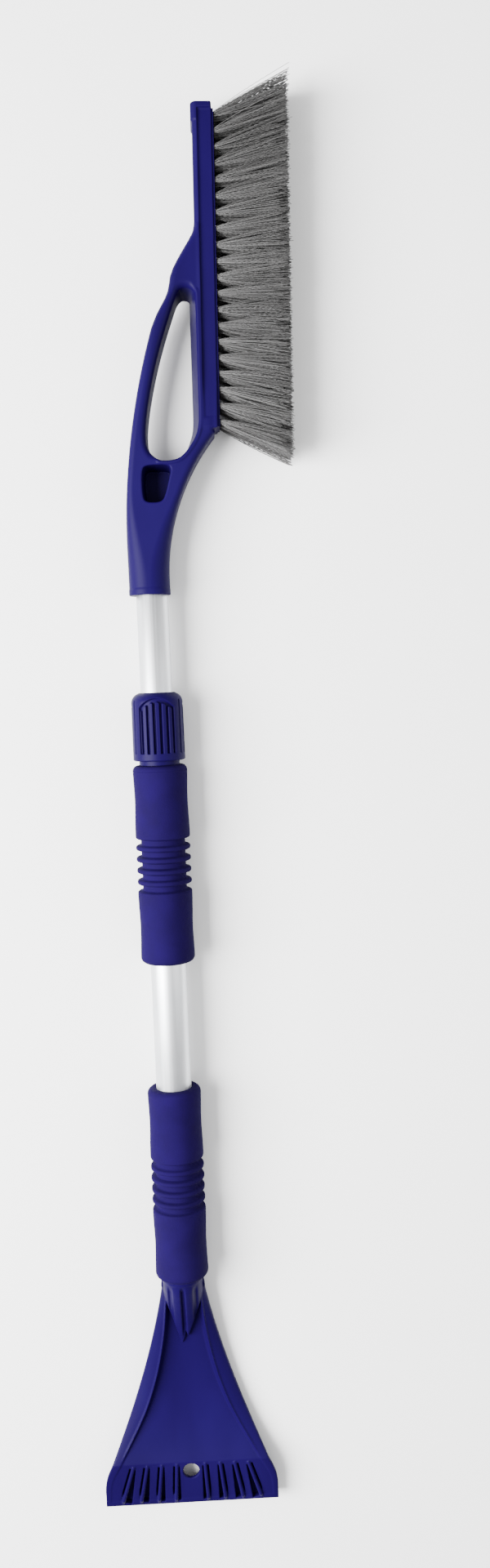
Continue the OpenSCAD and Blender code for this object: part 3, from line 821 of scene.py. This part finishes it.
def bristle_row(row):
    """One row of tufts as one mesh of three-sided filaments."""
    rng = np.random.default_rng(40 + row)
    count = FILAMENTS
    lines = np.concatenate([tuft_filaments(row, i, rng, count) for i in range(TUFTS)])
    number, length = lines.shape[:2]
    radius = rng.normal(FILAMENT_R, 0.02, number)[:, None, None]
    sides = 3
    turn = (np.arange(sides) * 2 * math.pi / sides)[None, None, :] + rng.random(number)[:, None, None] * 2
    y = lines[:, :, 1][:, :, None] + radius * np.cos(turn)
    z = lines[:, :, 2][:, :, None] + radius * np.sin(turn)
    x = np.repeat(lines[:, :, 0][:, :, None], sides, 2)
    points = np.stack([x, y, z], 3).reshape(-1, 3)
    base = np.arange(number)[:, None, None] * length * sides
    k = np.arange(length - 1)[None, :, None] * sides
    j = np.arange(sides)[None, None, :]
    after = (j + 1) % sides
    quads = np.stack([base + k + j, base + k + after, base + k + sides + after, base + k + sides + j], 3)
    root = np.arange(number)[:, None] * length * sides
    caps = np.concatenate([root + [2, 1, 0], root + (length - 1) * sides + [0, 1, 2]])
    points = from_leaning(points)
    points[:, 2] = np.clip(points[:, 2], FLOOR + 0.1, -FLOOR - 0.1)
    name = f"bristle_row_{row + 1}"
    mesh = quad_mesh(name + "_filaments", points, quads.reshape(-1, 4), caps)
    tone = mesh.attributes.new("tone", "FLOAT", "POINT")
    tone.data.foreach_set("value", np.repeat(rng.random(number), length * sides).astype(np.float32))
    finish_piece(name + "_filaments", mesh, name, "head", BRISTLE)


for row in range(ROWS):
    bristle_row(row)

# ---------------------------------------------------------------- kept CAD nodes

def dress(name, material):
    """Gives a CAD node its material, and leaves its mesh as it is."""
    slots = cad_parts[name].data.materials
    if len(slots) == 0:
        slots.append(material)
    for index in range(len(slots)):
        slots[index] = material


for name in ("scraper_pin", "lock_pins", "head_screw", "tuft_anchors"):
    dress(name, STEEL)
for name in ("clamp_ring", "guide_bush"):
    dress(name, ACETAL)
for name in ("lock_body", "tube_plug", "tuft_strip"):
    dress(name, BLUE)

# ---------------------------------------------------------------- floor, light and camera

def floor():
    """A sheet of pale paper that the tool lies on."""
    mesh = bpy.data.meshes.new("floor")
    half = 6.0
    corners = [(-half, -half, 0), (half, -half, 0), (half, half, 0), (-half, half, 0)]
    mesh.from_pydata(corners, [], [(0, 1, 2, 3)])
    material, nodes, links, shader = new_material("floor_paper")
    cloud = noise(nodes, links, 3, 2)
    links.new(ramp(nodes, links, cloud.outputs["Fac"], (0.88, 0.88, 0.88), (0.90, 0.90, 0.90)),
              shader.inputs["Base Color"])
    shader.inputs["Roughness"].default_value = 0.95
    mesh.materials.append(material)
    piece = bpy.data.objects.new("floor", mesh)
    bpy.context.collection.objects.link(piece)


def area_light(name, place_at, aim, size, power):
    """A white soft box, in metres and watts."""
    data = bpy.data.lights.new(name, "AREA")
    data.shape = "RECTANGLE"
    data.size, data.size_y = size
    data.energy = power
    light = bpy.data.objects.new(name, data)
    bpy.context.collection.objects.link(light)
    light.location = place_at
    light.rotation_mode = "QUATERNION"
    light.rotation_quaternion = (Vector(aim) - Vector(place_at)).to_track_quat("-Z", "Y")


def lights():
    """A white studio: a large key from the left, a weak fill and a top light."""
    world = bpy.data.worlds.new("studio")
    world.use_nodes = True
    world.node_tree.nodes["Background"].inputs["Color"].default_value = (1, 1, 1, 1)
    world.node_tree.nodes["Background"].inputs["Strength"].default_value = 0.5
    bpy.context.scene.world = world
    area_light("key", (-1.3, 0.0, 1.2), (0, -0.05, 0), (1.0, 1.5), 225)
    area_light("fill", (1.4, 0.1, 1.1), (0, 0, 0), (1.2, 1.6), 22)
    area_light("top", (0.0, 0.0, 2.2), (0, 0, 0), (1.6, 2.0), 14)


def camera():
    """Above the middle of the tool, a little to the right of the handle."""
    tilt, swing, roll = math.radians(5), math.radians(1.5), math.radians(2.2)
    distance = 0.855
    target = DATUM + Vector((0.0588, 0.5326, 0))
    turn = (Matrix.Rotation(-swing, 4, "Y") @ Matrix.Rotation(-tilt, 4, "X")
            @ Matrix.Rotation(-roll, 4, "Z"))
    data = bpy.data.cameras.new("camera")
    data.lens = 28.125
    data.clip_start = 0.01
    data.clip_end = 50
    eye = bpy.data.objects.new("camera", data)
    bpy.context.collection.objects.link(eye)
    eye.matrix_world = Matrix.Translation(target) @ turn @ Matrix.Translation((0, 0, distance))
    bpy.context.scene.camera = eye


floor()
lights()
camera()
